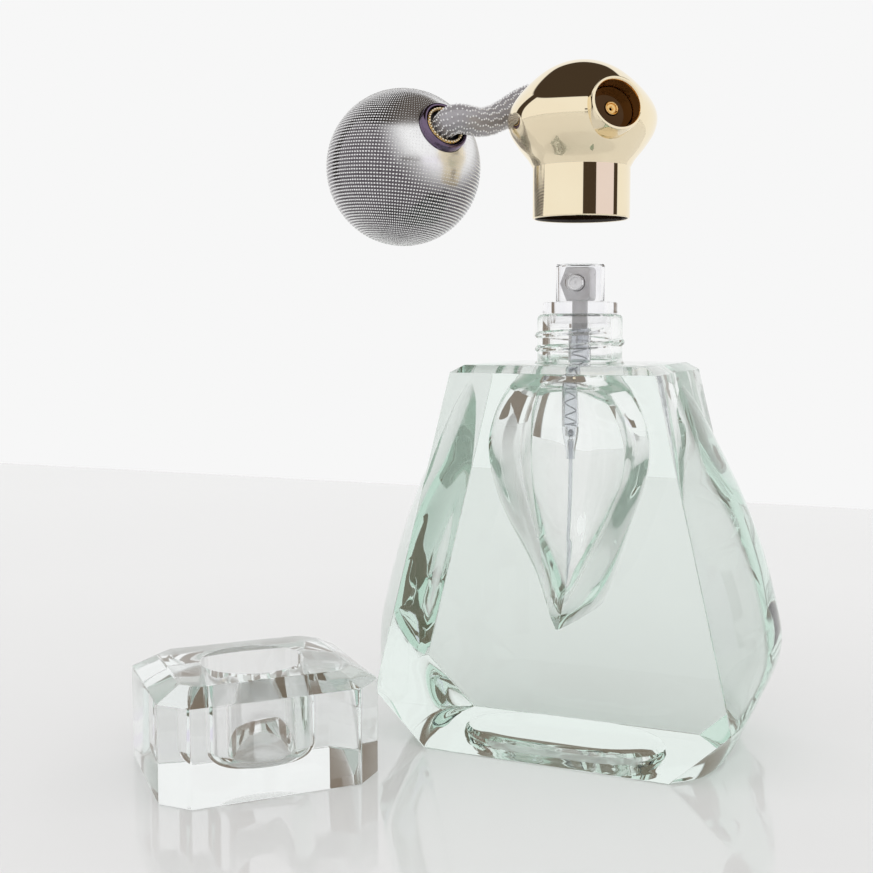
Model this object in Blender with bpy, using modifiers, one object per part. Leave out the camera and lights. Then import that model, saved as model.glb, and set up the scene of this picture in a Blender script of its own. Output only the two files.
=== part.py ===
"""Bulb perfume atomiser: crystal flacon, spray pump, gold bulb head and crystal cap, shown lifted apart.

All sizes in this file are in millimetres and are turned into metres by MM. The row's origin is on
the floor, in the middle of the set's footprint; the bottle's neck stands at NECK.
"""

import math

import bmesh
import bpy
from mathutils import Matrix, Vector

MM = 0.001

# Where the pieces stand
NECK = Vector((18.8, 24.6, 0.0))
CAP_PLACE = Vector((-37.2, -22.5, 0.0))
CAP_TURN = 46.4

# Bottle
BODY_HEIGHT = 83.4
BEVEL_FOOT = 81.8
TOP_HALF = (19.6, 19.4)
BEVEL_HALF = (22.1, 21.7)
FACE_FOOT_DEPTH = 24.3
FACE_OUTLINE = ((0.0, 26.9), (1.1, 28.0), (11.3, 39.0), (81.8, 22.1))
SIDE_OUTLINE = (
    (0.0, 34.2), (1.1, 35.3), (5.0, 37.5), (11.3, 40.3), (16.0, 42.4), (20.0, 43.8), (24.5, 44.5),
    (30.0, 43.8), (36.0, 42.4), (42.0, 40.7), (48.0, 38.5), (54.0, 36.0), (60.0, 33.0),
    (66.0, 30.0), (72.0, 27.0), (77.0, 24.3), (79.0, 22.8), (81.8, 22.1),
)
BULGE_ARCH = ((0.0, 0.97), (58.0, 0.97), (63.0, 0.87), (69.0, 0.69), (75.0, 0.44), (79.0, 0.08))
BULGE_POWER = ((0.0, 4.5), (14.0, 3.2), (30.0, 2.4))
BULGE_STEPS = 8
NECK_TOP = 94.3
NECK_RADIUS = 9.35
BORE_RADIUS = 7.0
THREAD_RADIUS = 0.55
THREAD_PITCH = 3.0
THREAD_TURNS = 1.8
THREAD_FOOT = 85.4
THREAD_START = math.pi * 0.3
CAVITY = (
    (26.6, 0.9, 8.0), (31.0, 4.8, 10.4), (39.0, 9.2, 10.8), (46.0, 12.5, 11.1),
    (52.0, 15.0, 11.4), (58.0, 17.0, 11.7), (65.0, 18.0, 12.0), (71.0, 17.0, 12.0),
    (76.0, 14.9, 11.5), (79.2, 12.6, 10.8), (80.7, 10.4, 9.6),
)
CAVITY_CORNER = (0.58, 0.55)
CAVITY_CORNER_STEPS = 3
PUNT_LENGTH = 46.0
PUNT_WIDTH = 32.0
PUNT_DEPTH = 2.6

# Pump
COLLAR_TOP = 96.8
COLLAR_RADIUS = 8.15
WELL_RADIUS = 5.75
HOUSING_RADIUS = 2.45
HOUSING_BORE = 2.05
STEM_RADIUS = 1.7
SPRING_FOOT = 70.0
SPRING_TOP = 87.5
SPRING_TURNS = 7
BUTTON_RADIUS = 5.3
BUTTON_FOOT = 97.0
BUTTON_TOP = 105.1
WINDOW_HEIGHT = 101.0
WINDOW_RADIUS = 1.95
CORE_HEIGHT = 100.9
CORE_HALF_DEPTH = 2.6
SPRING_RADIUS = 1.6
SPRING_WIRE = 0.17
BALL_RADIUS = 0.95
BALL_HEIGHT = 68.05

# Cap
CAP_HALF = (22.5, 20.0)
CAP_HEIGHT = 22.4
CAP_SHOULDER = 19.7
CAP_CORNER = 5.4
CAP_BEVEL = 5.0
CAP_BORE = 10.75
CAP_FLOOR = 3.8

# Head
HEAD_FOOT = 114.9
HEAD_OUTLINE = (
    (0.0, 33.8), (2.6, 33.6), (5.0, 33.05), (8.6, 31.2), (12.3, 28.0), (15.1, 24.5), (16.15, 21.5),
    (15.6, 18.4), (13.7, 15.3), (11.6, 12.7), (10.6, 11.0), (10.6, 0.0),
)
HEAD_CAVITY = (
    (10.05, 0.0), (10.05, 11.6), (11.0, 13.4), (13.0, 16.0), (14.7, 18.8), (15.2, 21.5),
    (14.2, 24.0), (11.5, 27.3), (8.0, 30.4), (4.6, 32.1), (2.4, 32.6), (0.0, 32.8),
)
CORE_OUTLINE = (
    (0.0, 32.3), (2.3, 32.1), (4.4, 31.6), (7.6, 30.0), (11.1, 26.9), (13.8, 23.8), (14.8, 21.5),
    (14.3, 18.9), (12.7, 16.3), (11.2, 14.3), (10.4, 13.8), (5.9, 13.8), (5.9, 22.4), (0.0, 22.4),
)
NOZZLE_AZIMUTH = -48.5
NOZZLE_TILT = 13.0
NOZZLE_ORIGIN_HEIGHT = 133.0
NOZZLE_RADIUS = 5.8
NOZZLE_BORE = 5.0
NOZZLE_REACH = 17.9
PORT_RADIUS = 4.5
FEED_RADIUS = 0.8

# Hose, from the head to the bulb's collar, measured from the neck's axis
HOSE_ROUTE = (
    (-8.4, 7.0, 141.0), (-10.3, 7.95, 141.95), (-12.2, 8.9, 142.9), (-14.9, 9.4, 143.5),
    (-17.1, 8.0, 142.3), (-18.6, 5.6, 140.6), (-20.1, 2.9, 138.8), (-21.7, 0.0, 137.4),
    (-23.1, -3.0, 136.8), (-24.6, -5.9, 137.0), (-26.4, -7.6, 137.1), (-28.7, -7.18, 136.35),
    (-30.33, -6.17, 135.48),
)
HOSE_RADIUS = 3.3
AIR_TUBE_RADIUS = 1.6
SLEEVE_WALL = 0.7
HINGE_INDEX = 7
HINGE_GAP = 1.3

# Bulb
BULB_CENTRE = Vector((-43.75, 2.1, 128.35))
BULB_AXIS = Vector((0.776, -0.478, 0.412)).normalized()
BULB_RADIUS = 18.0
COVER_MOUTH = 6.1
COVER_FOOT = 2.7
BLADDER_MOUTH = 2.3
BLADDER_FOOT = 1.3


def fresh_scene():
    for ob in list(bpy.data.objects):
        bpy.data.objects.remove(ob, do_unlink=True)
    scene = bpy.context.scene
    parts = bpy.data.collections.new("perfume_atomiser")
    cutters = bpy.data.collections.new("cutters")
    scene.collection.children.link(parts)
    scene.collection.children.link(cutters)
    return parts, cutters


PARTS, CUTTERS = fresh_scene()


def material(name, colour, roughness, metallic=0.0):
    mat = bpy.data.materials.new(name)
    mat.use_nodes = True
    shader = mat.node_tree.nodes["Principled BSDF"]
    shader.inputs["Base Color"].default_value = (*colour, 1.0)
    shader.inputs["Roughness"].default_value = roughness
    shader.inputs["Metallic"].default_value = metallic
    return mat


GLASS = ((0.80, 0.90, 0.86), 0.02)
CLEAR = ((0.93, 0.93, 0.95), 0.12)
GREY = ((0.72, 0.71, 0.72), 0.35)
GOLD = ((0.83, 0.70, 0.45), 0.08, 1.0)
STEEL = ((0.62, 0.62, 0.66), 0.2, 1.0)
DARK = ((0.16, 0.12, 0.18), 0.15, 1.0)
RUBBER = ((0.12, 0.11, 0.13), 0.6)


def add_part(name, mesh, look, place=NECK, turn=None):
    ob = bpy.data.objects.new(name, mesh)
    PARTS.objects.link(ob)
    mesh.materials.clear()
    mesh.materials.append(material(name, *look))
    ob.location = place * MM
    if turn is not None:
        ob.rotation_mode = "QUATERNION"
        ob.rotation_quaternion = turn
    return ob


def add_cutter(name, mesh, place=NECK, turn=None):
    ob = bpy.data.objects.new(name, mesh)
    CUTTERS.objects.link(ob)
    ob.location = place * MM
    if turn is not None:
        ob.rotation_mode = "QUATERNION"
        ob.rotation_quaternion = turn
    ob.hide_render = True
    ob.display_type = "WIRE"
    return ob


def combine(target, tool, operation):
    step = target.modifiers.new(operation.lower() + "_" + tool.name, "BOOLEAN")
    step.operation = operation
    step.solver = "EXACT"
    step.object = tool


def profile_mesh(name, points, closed):
    """An outline in the XZ plane, (radius, height) pairs running down the outer side."""
    mesh = bpy.data.meshes.new(name)
    verts = [(r * MM, 0.0, z * MM) for r, z in points]
    edges = [(i, i + 1) for i in range(len(points) - 1)]
    if closed:
        edges.append((len(points) - 1, 0))
    mesh.from_pydata(verts, edges, [])
    return mesh


def spin(ob, steps):
    screw = ob.modifiers.new("turned", "SCREW")
    screw.axis = "Z"
    screw.steps = steps
    screw.render_steps = steps
    screw.use_merge_vertices = True
    screw.merge_threshold = 0.000001
    screw.use_smooth_shade = True


def turned(name, points, look, steps=32, closed=False, place=NECK, turn=None):
    ob = add_part(name, profile_mesh(name, points, closed), look, place, turn)
    spin(ob, steps)
    return ob


def turned_cutter(name, points, steps=32, place=NECK, turn=None):
    ob = add_cutter(name, profile_mesh(name, points, False), place, turn)
    spin(ob, steps)
    return ob


def rod_cutter(name, radius, low, high, steps=32, place=NECK, turn=None):
    points = ((0.0, high), (radius, high), (radius, low), (0.0, low))
    return turned_cutter(name, points, steps, place, turn)


def between(table, height):
    """Straight-line reading of a (height, value) table."""
    for (z0, v0), (z1, v1) in zip(table, table[1:]):
        if height <= z1:
            return v0 + (v1 - v0) * (height - z0) / (z1 - z0)
    return table[-1][1]


def loft(name, rings):
    """Skin over rings of equal point count, counter-clockwise from above, bottom ring first."""
    mesh = bpy.data.meshes.new(name)
    count = len(rings[0])
    verts = [(x * MM, y * MM, z * MM) for ring in rings for x, y, z in ring]
    faces = [tuple(reversed(range(count)))]
    for level in range(len(rings) - 1):
        low = level * count
        for i in range(count):
            j = (i + 1) % count
            faces.append((low + i, low + j, low + count + j, low + count + i))
    top = (len(rings) - 1) * count
    faces.append(tuple(range(top, top + count)))
    mesh.from_pydata(verts, [], faces)
    return mesh


def bottle_ring(height):
    """One level of the bottle: flat front and back, and sides that bulge inside an arch."""
    half_width = between(FACE_OUTLINE, height)
    half_depth = face_depth(height)
    sagitta = max(between(SIDE_OUTLINE, height) - half_width, 0.0)
    arch = between(BULGE_ARCH, height)
    power = between(BULGE_POWER, height)
    right = [(half_width, -half_depth, height)]
    for i in range(BULGE_STEPS + 1):
        t = -1.0 + 2.0 * i / BULGE_STEPS
        swell = sagitta * (1.0 - abs(t) ** power)
        right.append((half_width + swell, t * arch * half_depth, height))
    right.append((half_width, half_depth, height))
    left = [(-x, -y, height) for x, y, _ in right]
    return right + left


def face_depth(height):
    return BEVEL_HALF[1] + (FACE_FOOT_DEPTH - BEVEL_HALF[1]) * (1.0 - height / BEVEL_FOOT)


def bottle_body():
    rings = [bottle_ring(z) for z, _ in SIDE_OUTLINE]
    share = (TOP_HALF[0] / BEVEL_HALF[0], TOP_HALF[1] / BEVEL_HALF[1])
    rings.append([(x * share[0], y * share[1], BODY_HEIGHT) for x, y, _ in rings[-1]])
    return loft("glass_bottle", rings)


def cavity_ring(height, half_x, half_y):
    """A rectangle whose corners are rounded in a few flat cuts."""
    cut_x = CAVITY_CORNER[0] * half_x
    cut_y = CAVITY_CORNER[1] * half_y
    ring = []
    for quarter, (side_x, side_y) in enumerate(((1.0, 1.0), (-1.0, 1.0), (-1.0, -1.0), (1.0, -1.0))):
        for i in range(CAVITY_CORNER_STEPS + 1):
            a = math.radians(90.0 * (quarter + i / CAVITY_CORNER_STEPS))
            x = side_x * (half_x - cut_x) + cut_x * math.cos(a)
            y = side_y * (half_y - cut_y) + cut_y * math.sin(a)
            ring.append((x, y, height))
    return ring


def stadium_mesh(name, length, width, low, high, end_points=8):
    radius = width / 2.0
    straight = length / 2.0 - radius
    ring = []
    for sign in (1.0, -1.0):
        for i in range(end_points + 1):
            a = -math.pi / 2.0 + math.pi * i / end_points
            ring.append((sign * (straight + radius * math.cos(a)), sign * radius * math.sin(a)))
    return loft(name, [[(x, y, z) for x, y in ring] for z in (low, high)])


def curve_mesh(name, points, radius, resolution=2, caps=True, radii=None):
    """A round bar along the points, as a mesh with its end caps welded on."""
    curve = bpy.data.curves.new(name, "CURVE")
    curve.dimensions = "3D"
    curve.bevel_depth = radius * MM
    curve.bevel_resolution = resolution
    curve.use_fill_caps = caps
    spline = curve.splines.new("POLY")
    spline.points.add(len(points) - 1)
    for i, point in enumerate(points):
        spline.points[i].co = (*(Vector(point) * MM), 1.0)
        spline.points[i].radius = 1.0 if radii is None else radii[i]
    guide = bpy.data.objects.new(name + "_path", curve)
    CUTTERS.objects.link(guide)
    ready = guide.evaluated_get(bpy.context.evaluated_depsgraph_get())
    mesh = bpy.data.meshes.new_from_object(ready)
    bpy.data.objects.remove(guide, do_unlink=True)
    bpy.data.curves.remove(curve)
    work = bmesh.new()
    work.from_mesh(mesh)
    bmesh.ops.remove_doubles(work, verts=work.verts, dist=0.000002)
    bmesh.ops.recalc_face_normals(work, faces=work.faces)
    work.to_mesh(mesh)
    work.free()
    return mesh


def helix(radius, low, high, turns, per_turn, start=0.0):
    total = int(turns * per_turn)
    points = []
    for i in range(total + 1):
        a = start + 2.0 * math.pi * turns * i / total
        z = low + (high - low) * i / total
        points.append((radius * math.cos(a), radius * math.sin(a), z))
    return points


def smooth_route(points, per_span):
    """Catmull-Rom curve through hand-placed points."""
    pts = [Vector(p) for p in points]
    pts = [pts[0] * 2.0 - pts[1]] + pts + [pts[-1] * 2.0 - pts[-2]]
    out = []
    for a, b, c, d in zip(pts, pts[1:], pts[2:], pts[3:]):
        for i in range(per_span):
            t = i / per_span
            out.append(
                0.5 * ((2.0 * b) + (c - a) * t + (2.0 * a - 5.0 * b + 4.0 * c - d) * t * t
                       + (3.0 * b - a - 3.0 * c + d) * t ** 3)
            )
    out.append(pts[-2])
    return out


def make_bottle():
    body = add_part("glass_bottle", bottle_body(), GLASS)
    neck = turned_cutter("neck_blank", (
        (0.0, NECK_TOP), (NECK_RADIUS - 0.7, NECK_TOP), (NECK_RADIUS - 0.2, NECK_TOP - 0.2),
        (NECK_RADIUS, NECK_TOP - 0.7), (NECK_RADIUS, 80.0), (0.0, 80.0),
    ), 40)
    head = THREAD_FOOT + THREAD_TURNS * THREAD_PITCH
    path = helix(NECK_RADIUS, THREAD_FOOT, head, THREAD_TURNS, 20, THREAD_START)
    fade = [min(1.0, 0.25 + 0.25 * i, 0.25 + 0.25 * (len(path) - 1 - i)) for i in range(len(path))]
    thread = add_cutter("neck_thread", curve_mesh("thread", path, THREAD_RADIUS, 1, True, fade))
    combine(body, neck, "UNION")
    combine(body, thread, "UNION")
    cavity = loft("cavity", [cavity_ring(*row) for row in CAVITY])
    combine(body, add_cutter("cavity", cavity), "DIFFERENCE")
    combine(body, rod_cutter("neck_bore", BORE_RADIUS, 79.0, 96.0, 36), "DIFFERENCE")
    punt = stadium_mesh("punt", PUNT_LENGTH, PUNT_WIDTH, -2.0, PUNT_DEPTH)
    combine(body, add_cutter("punt", punt), "DIFFERENCE")


def make_pump_collar():
    turned("neck_gasket", ((8.1, 94.85), (8.1, 94.5), (7.0, 94.5), (7.0, 94.85)), RUBBER, 32, True)
    turned("pump_collar", (
        (COLLAR_RADIUS - 0.15, COLLAR_TOP), (COLLAR_RADIUS, COLLAR_TOP - 0.15),
        (COLLAR_RADIUS, 95.05), (6.75, 95.05), (6.75, 91.2), (2.0, 91.2), (2.0, 92.0),
        (WELL_RADIUS, 92.0), (WELL_RADIUS, COLLAR_TOP),
    ), CLEAR, 36, True)


def make_pump_body():
    turned("pump_housing", (
        (4.2, 90.9), (4.2, 90.1), (HOUSING_RADIUS, 90.1), (HOUSING_RADIUS, 68.6), (1.6, 65.4),
        (1.25, 62.0), (0.8, 62.0), (0.8, 66.4), (0.5, 66.6), (0.5, 67.2), (1.3, 67.2),
        (1.3, 69.6), (HOUSING_BORE, 69.6), (HOUSING_BORE, 90.9),
    ), CLEAR, 24, True)
    arc = [math.radians(90.0 - 180.0 * i / 8) for i in range(9)]
    ball = [
        (max(BALL_RADIUS * math.cos(a), 0.0), BALL_HEIGHT + BALL_RADIUS * math.sin(a)) for a in arc
    ]
    turned("check_ball", ball, STEEL, 16)
    wire = helix(SPRING_RADIUS, SPRING_FOOT, SPRING_TOP, SPRING_TURNS, 10)
    add_part("pump_spring", curve_mesh("spring", wire, SPRING_WIRE), STEEL)
    turned("pump_piston", (
        (1.95, 89.6), (1.95, 87.9), (0.6, 87.9), (0.6, 89.6),
    ), CLEAR, 20, True)
    turned("pump_stem", (
        (STEM_RADIUS, 99.0), (STEM_RADIUS, 89.9), (0.6, 89.9), (0.6, 99.0),
    ), GREY, 24, True)
    turned("dip_tube", ((0.65, 66.2), (0.65, 31.0), (0.35, 31.0), (0.35, 66.2)), CLEAR, 12, True)


def facing(azimuth, tilt):
    a = math.radians(azimuth)
    t = math.radians(tilt)
    return Vector((math.cos(a) * math.cos(t), math.sin(a) * math.cos(t), math.sin(t)))


def make_button():
    front = facing(-90.0, 0.0).to_track_quat("Z", "Y")
    window = NECK + Vector((0.0, 0.0, WINDOW_HEIGHT))
    shell = turned("actuator_shell", (
        (0.0, BUTTON_TOP), (BUTTON_RADIUS - 0.15, BUTTON_TOP), (BUTTON_RADIUS, BUTTON_TOP - 0.15),
        (BUTTON_RADIUS, BUTTON_FOOT), (4.75, BUTTON_FOOT), (4.75, 104.75), (0.0, 104.75),
    ), CLEAR, 40)
    combine(shell, rod_cutter("button_window", WINDOW_RADIUS, 3.5, 6.5, 24, window, front), "DIFFERENCE")
    outline = (
        (-2.5, 3.5), (-3.8, 0.0), (-2.4, -3.6), (2.3, -3.6), (2.9, -3.0), (2.9, 2.8), (2.5, 3.5),
    )
    upright = Matrix.Rotation(math.radians(90.0), 4, "X").to_quaternion()
    middle = NECK + Vector((0.0, 0.0, CORE_HEIGHT))
    block = loft("actuator_core", [
        [(x, z, depth) for x, z in outline] for depth in (-CORE_HALF_DEPTH, CORE_HALF_DEPTH)
    ])
    core = add_part("actuator_core", block, GREY, middle, upright)
    combine(core, rod_cutter("stem_socket", 1.8, 96.0, 99.3, 24), "DIFFERENCE")
    combine(core, rod_cutter("insert_pocket", 1.85, 1.0, 4.0, 24, window, front), "DIFFERENCE")
    turned("actuator_nozzle", (
        (0.0, 3.4), (1.15, 3.6), (1.15, 4.3), (1.7, 4.3), (1.7, 1.3), (0.0, 1.3),
    ), GREY, 24, False, window, front)


def make_cap():
    mesh = bpy.data.meshes.new("glass_cap")
    work = bmesh.new()
    bmesh.ops.create_cube(work, size=1.0)
    size = Vector((2.0 * CAP_HALF[0], 2.0 * CAP_HALF[1], CAP_SHOULDER)) * MM
    bmesh.ops.scale(work, vec=size, verts=work.verts)
    bmesh.ops.translate(work, vec=(0.0, 0.0, CAP_SHOULDER * MM / 2.0), verts=work.verts)
    upright = [e for e in work.edges if abs(e.verts[0].co.z - e.verts[1].co.z) > MM]
    bmesh.ops.bevel(work, geom=upright, offset=CAP_CORNER * MM, offset_type="OFFSET", segments=1,
                    affect="EDGES")
    top = [f for f in work.faces if f.normal.z > 0.9]
    bmesh.ops.inset_region(work, faces=top, thickness=CAP_BEVEL * MM, depth=0.0)
    for vert in {v for f in top for v in f.verts}:
        vert.co.z = CAP_HEIGHT * MM
    work.to_mesh(mesh)
    work.free()
    turn = Matrix.Rotation(math.radians(CAP_TURN), 4, "Z").to_quaternion()
    cap = add_part("glass_cap", mesh, GLASS, CAP_PLACE, turn)
    bore = (
        (0.0, CAP_HEIGHT + 2.0), (CAP_BORE, CAP_HEIGHT + 2.0), (CAP_BORE, CAP_FLOOR + 4.0),
        (CAP_BORE - 1.2, CAP_FLOOR + 1.2), (CAP_BORE - 4.0, CAP_FLOOR), (0.0, CAP_FLOOR),
    )
    combine(cap, turned_cutter("cap_bore", bore, 40, CAP_PLACE), "DIFFERENCE")


def lifted(points):
    return tuple((r, HEAD_FOOT + h) for r, h in points)


def make_head():
    out = facing(NOZZLE_AZIMUTH, NOZZLE_TILT).to_track_quat("Z", "Y")
    root = NECK + Vector((0.0, 0.0, NOZZLE_ORIGIN_HEIGHT))
    start = Vector(HOSE_ROUTE[0])
    away = (Vector(HOSE_ROUTE[1]) - start).normalized()
    back = away.to_track_quat("Z", "Y")
    port = NECK + start
    shell = turned("head_shell", lifted(HEAD_OUTLINE + HEAD_CAVITY), GOLD, 36)
    core = turned("head_core", lifted(CORE_OUTLINE), RUBBER, 28)
    pocket = rod_cutter("nozzle_pocket", NOZZLE_RADIUS + 0.3, 11.8, 22.0, 36, root, out)
    feed = rod_cutter("nozzle_feed", FEED_RADIUS, 5.0, 13.0, 12, root, out)
    socket = rod_cutter("hose_opening", PORT_RADIUS, -1.2, 9.0, 32, port, back)
    for piece in (shell, core):
        combine(piece, pocket, "DIFFERENCE")
        combine(piece, socket, "DIFFERENCE")
    combine(core, feed, "DIFFERENCE")
    turned("nozzle_barrel", (
        (NOZZLE_RADIUS, NOZZLE_REACH), (NOZZLE_RADIUS, 12.2), (NOZZLE_BORE, 12.2),
        (NOZZLE_BORE, NOZZLE_REACH),
    ), GOLD, 36, True, root, out)
    turned("nozzle_disc", (
        (4.75, 14.6), (4.75, 12.4), (1.65, 12.4), (1.65, 14.6),
    ), DARK, 32, True, root, out)
    turned("nozzle_jet", (
        (1.4, 15.0), (1.4, 12.4), (0.25, 12.4), (0.25, 14.4), (0.9, 15.0),
    ), GOLD, 20, True, root, out)
    turned("hose_ferrule", (
        (4.2, 3.6), (4.2, -0.6), (3.6, -0.6), (3.6, 3.6),
    ), GOLD, 28, True, port, back)


def trimmed(line, centre, gap):
    """The line's points up to the first one nearer the centre than the gap, ended exactly there."""
    kept = []
    for point in line:
        if (point - centre).length <= gap:
            before = kept[-1]
            outer = (before - centre).length
            share = (outer - gap) / (outer - (point - centre).length)
            if share < 0.5:
                kept.pop()
            kept.append(before.lerp(point, share))
            break
        kept.append(point)
    return kept


def hose_halves():
    """The hose's middle line, parted at the bend's centre with a small gap for it to bend."""
    centre = Vector(HOSE_ROUTE[HINGE_INDEX])
    line = smooth_route(HOSE_ROUTE, 3)
    head = trimmed(line, centre, HINGE_GAP / 2.0)
    bulb = trimmed(line[::-1], centre, HINGE_GAP / 2.0)
    return head, bulb


def add_sleeve(name, points, look):
    """A hollow sleeve: an open tube given a wall's thickness."""
    mesh = curve_mesh(name, points, HOSE_RADIUS, 3, False)
    ob = add_part(name, mesh, look)
    shell = ob.modifiers.new("wall", "SOLIDIFY")
    shell.thickness = SLEEVE_WALL * MM
    shell.offset = -1.0
    return ob


def make_hose(pivot):
    head, bulb = hose_halves()
    add_sleeve("braid_head_half", head, STEEL)
    add_part("air_tube_head_half", curve_mesh("air_tube_a", head, AIR_TUBE_RADIUS, 2), RUBBER)
    hang_on(pivot, add_sleeve("braid_bulb_half", bulb, STEEL))
    tube = curve_mesh("air_tube_b", bulb, AIR_TUBE_RADIUS, 2)
    hang_on(pivot, add_part("air_tube_bulb_half", tube, RUBBER))


def add_pivot():
    pivot = bpy.data.objects.new("bulb_pivot", None)
    PARTS.objects.link(pivot)
    pivot.location = (NECK + Vector(HOSE_ROUTE[HINGE_INDEX])) * MM
    return pivot


def hang_on(pivot, ob):
    ob.parent = pivot
    ob.matrix_parent_inverse = Matrix.Translation(pivot.location).inverted()


def sphere_arc(radius, top_hole, foot_hole, steps):
    """Outer side of a ball from the top opening down to the bottom opening."""
    top = math.asin(top_hole / radius)
    foot = math.pi - math.asin(foot_hole / radius)
    angles = [top + (foot - top) * i / steps for i in range(steps + 1)]
    return [(radius * math.sin(a), radius * math.cos(a)) for a in angles]


def make_bulb(pivot):
    turn = BULB_AXIS.to_track_quat("Z", "Y")
    centre = NECK + BULB_CENTRE
    cover = sphere_arc(BULB_RADIUS, COVER_MOUTH, COVER_FOOT, 12)
    lining = sphere_arc(BULB_RADIUS - 0.7, COVER_MOUTH, COVER_FOOT, 12)
    mesh_cover = turned("bulb_mesh", cover + lining[::-1], STEEL, 28, True, centre, turn)
    outer = sphere_arc(BULB_RADIUS - 1.0, BLADDER_MOUTH, BLADDER_FOOT, 10)
    inner = sphere_arc(BULB_RADIUS - 2.4, BLADDER_MOUTH, BLADDER_FOOT, 10)
    bladder = turned("bulb_bladder", outer + inner[::-1], RUBBER, 20, True, centre, turn)
    collar = turned("bulb_collar", (
        (5.5, 18.8), (5.8, 18.5), (5.8, 16.8), (4.85, 16.8), (4.85, 18.5), (5.1, 18.8),
    ), DARK, 32, True, centre, turn)
    ring = turned("bulb_beaded_ring", (
        (4.35, 19.0), (4.55, 18.8), (4.55, 17.6), (3.9, 17.6), (3.9, 19.0),
    ), GOLD, 32, True, centre, turn)
    valve = turned("intake_valve", (
        (0.9, -16.6), (0.9, -18.1), (2.3, -18.1), (2.3, -18.9), (0.3, -18.9), (0.3, -16.6),
    ), DARK, 20, True, centre, turn)
    for ob in (mesh_cover, bladder, collar, ring, valve):
        hang_on(pivot, ob)


make_bottle()
make_pump_collar()
make_pump_body()
make_button()
make_cap()
make_head()
BULB_PIVOT = add_pivot()
make_hose(BULB_PIVOT)
make_bulb(BULB_PIVOT)
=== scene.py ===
import math

import bmesh
import bpy
import numpy as np
from mathutils import Matrix, Vector


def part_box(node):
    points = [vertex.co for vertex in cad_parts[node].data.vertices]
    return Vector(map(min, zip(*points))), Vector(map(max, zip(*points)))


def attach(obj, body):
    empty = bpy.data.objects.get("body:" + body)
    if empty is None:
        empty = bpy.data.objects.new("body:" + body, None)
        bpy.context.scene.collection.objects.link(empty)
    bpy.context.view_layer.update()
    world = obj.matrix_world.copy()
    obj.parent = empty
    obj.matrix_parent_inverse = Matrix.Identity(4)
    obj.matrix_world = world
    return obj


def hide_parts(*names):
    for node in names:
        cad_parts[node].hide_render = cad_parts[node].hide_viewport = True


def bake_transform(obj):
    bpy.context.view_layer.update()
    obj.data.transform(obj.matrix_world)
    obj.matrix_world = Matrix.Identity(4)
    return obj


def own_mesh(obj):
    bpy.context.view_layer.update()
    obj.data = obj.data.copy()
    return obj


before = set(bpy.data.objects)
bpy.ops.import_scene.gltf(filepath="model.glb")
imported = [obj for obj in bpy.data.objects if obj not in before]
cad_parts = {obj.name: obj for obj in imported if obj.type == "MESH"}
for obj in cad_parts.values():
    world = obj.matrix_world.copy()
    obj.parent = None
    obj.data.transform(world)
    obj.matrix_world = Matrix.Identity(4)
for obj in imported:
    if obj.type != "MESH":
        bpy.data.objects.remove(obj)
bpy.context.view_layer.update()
MM = 0.001

# ---------------------------------------------------------------------------------------------
# Studio. A polished pale table under a white sweep, lit all round, with one dark canopy overhead
# and a few dark screens beside the table: they give the glass and the gold their dark edges.
# Two brown flags show only to light that comes through the glass.
TABLE_FAR_LEFT = Vector((-489.5, 387.0, -0.1))
TABLE_FAR_RIGHT = Vector((58.5, 402.6, -0.1))
TABLE_REACH = 3200.0
TABLE_POLISHED_TO = 0.2
TABLE_MATT_FROM = 0.7
TABLE_MATT = 0.16
CAMERA_PLACE = Vector((96.5, -234.6, 92.0))
CAMERA_TILT = 84.71
CAMERA_TURN = 23.4
CAMERA_BEARING = -73.3

camera_data = bpy.data.cameras.new("camera")
camera_data.lens = 50.0
camera_data.sensor_width = 36.0
camera_data.clip_start = 0.01
camera = bpy.data.objects.new("camera", camera_data)
bpy.context.scene.collection.objects.link(camera)
camera.location = CAMERA_PLACE * MM
camera.rotation_euler = (math.radians(CAMERA_TILT), 0.0, math.radians(CAMERA_TURN))
bpy.context.scene.camera = camera
bpy.context.scene.view_settings.view_transform = "Standard"

along = (TABLE_FAR_RIGHT - TABLE_FAR_LEFT).normalized()
towards = Vector((along.y, -along.x, 0.0))
middle = (TABLE_FAR_LEFT + TABLE_FAR_RIGHT) / 2.0
corners = [
    middle - along * TABLE_REACH,
    middle - along * TABLE_REACH + towards * TABLE_REACH,
    middle + along * TABLE_REACH + towards * TABLE_REACH,
    middle + along * TABLE_REACH,
]
table_mesh = bpy.data.meshes.new("table")
table_mesh.from_pydata([tuple(c * MM) for c in corners], [], [(0, 1, 2, 3)])
table = bpy.data.objects.new("table", table_mesh)
bpy.context.scene.collection.objects.link(table)


def new_material(name):
    mat = bpy.data.materials.new(name)
    mat.use_nodes = True
    tree = mat.node_tree
    return mat, tree, tree.nodes["Principled BSDF"]


def effect(name, inputs, outputs):
    """An empty shader group with named sockets: returns the group and its two end nodes."""
    group = bpy.data.node_groups.new(name, "ShaderNodeTree")
    for label, kind, value in inputs:
        group.interface.new_socket(name=label, in_out="INPUT", socket_type=kind).default_value = value
    for label, kind in outputs:
        group.interface.new_socket(name=label, in_out="OUTPUT", socket_type=kind)
    return group, group.nodes.new("NodeGroupInput"), group.nodes.new("NodeGroupOutput")


def put_effect(tree, group, values):
    node = tree.nodes.new("ShaderNodeGroup")
    node.node_tree = group
    for label, value in values.items():
        node.inputs[label].default_value = value
    return node


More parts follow.
